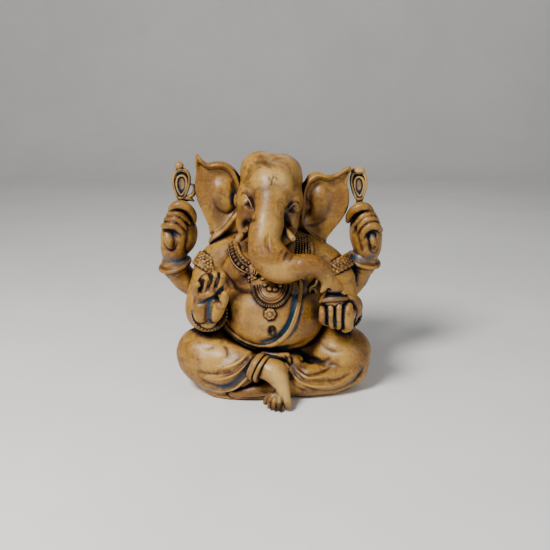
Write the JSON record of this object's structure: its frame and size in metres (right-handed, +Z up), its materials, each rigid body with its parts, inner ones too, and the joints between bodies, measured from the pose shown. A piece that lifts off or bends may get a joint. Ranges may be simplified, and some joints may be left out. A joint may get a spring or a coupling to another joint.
{
  "type": "seated elephant-headed figure",
  "caption": "Seated elephant-headed devotional figure in antiqued resin, four arms, trunk curled to its left, with separately moulded limbs and jewellery.",
  "frame": {"origin": "on the table, in the middle of the felt pad's underside, below the belly", "axes": "+Z up, -Y out of the figure's chest towards whoever faces it, +X towards the figure's own left"},
  "size_m": [0.1942, 0.1267, 0.1987],
  "materials": {
    "resin": "antiqued semi-gloss cold-cast resin",
    "plug_resin": "rough cast",
    "dowel_wood": "plain",
    "wire_steel": "drawn wire",
    "felt": "wool felt"
  },
  "bodies": {
    "root": {"head": "resin", "torso": "resin", "seat_and_legs": "resin", "right_ear": "resin", "left_ear": "resin", "right_tusk": "resin", "left_tusk": "resin", "front_right_arm": "resin", "front_right_hand": "resin", "front_left_arm": "resin", "front_left_hand": "resin", "modak": "resin", "rear_right_arm": "resin", "rear_left_arm": "resin", "goad": "resin", "noose": "resin", "rear_right_hand": "resin", "rear_left_hand": "resin", "right_foot": "resin", "left_foot": "resin", "ankle_hem": "resin", "lap_cloth": "resin", "shoulder_cord": "resin", "collar_band": "resin", "waist_belt": "resin", "collar_beads": "resin", "bib_necklace": "resin", "bib_beads": "resin", "garland_beads": "resin", "pendant_flower": "resin", "medallion": "resin", "chest_flower": "resin", "chest_knot": "resin", "right_armlet": "resin", "left_armlet": "resin", "right_bracelet": "resin", "left_bracelet": "resin", "rear_right_cuff": "resin", "rear_left_cuff": "resin", "neck_dowel": "dowel_wood", "rear_arm_wires": "wire_steel", "base_plug": "plug_resin", "felt_pad": "felt"}
  },
  "joints": []
}
